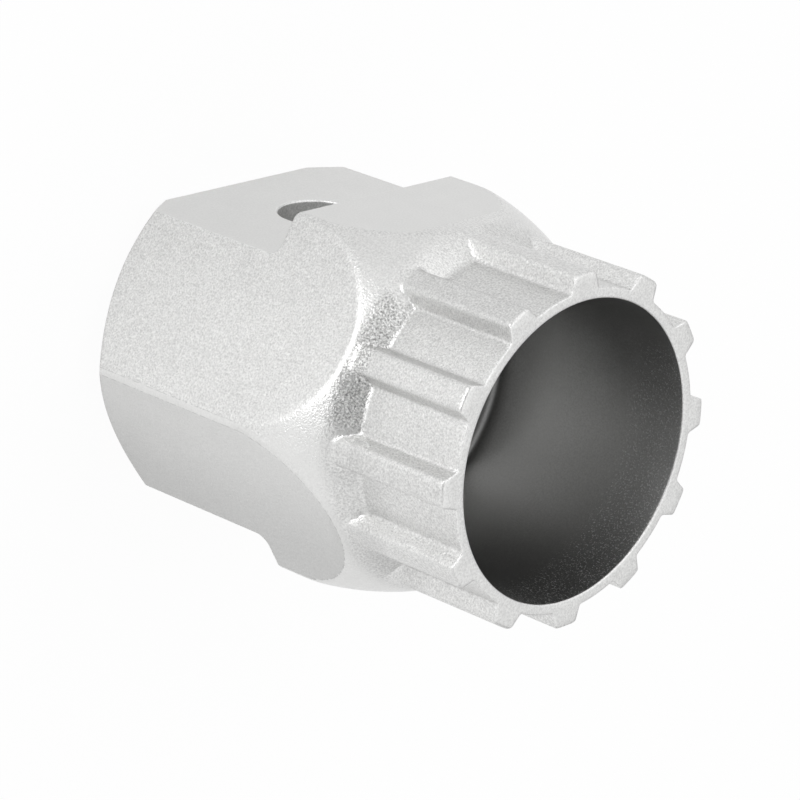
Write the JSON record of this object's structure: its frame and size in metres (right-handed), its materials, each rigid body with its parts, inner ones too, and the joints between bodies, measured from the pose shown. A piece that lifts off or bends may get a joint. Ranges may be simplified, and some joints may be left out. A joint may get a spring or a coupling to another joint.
{
  "type": "cassette lockring tool",
  "caption": "Hexagonal bicycle cassette lockring tool with a splined hollow nose, milled flats and a cross hole.",
  "frame": {"origin": "centre of the back end face, which the tool stands on", "axes": "+Z along the tool's axis towards the splined nose; +X and -X out of the milled flats; +Y and -Y through two corners of the hexagon"},
  "size_m": [0.024, 0.0274, 0.0313],
  "materials": {
    "steel": "matt nickel over fine blasting, with brighter worn edges"
  },
  "bodies": {
    "root": {"lockring_tool": "steel"}
  },
  "joints": []
}
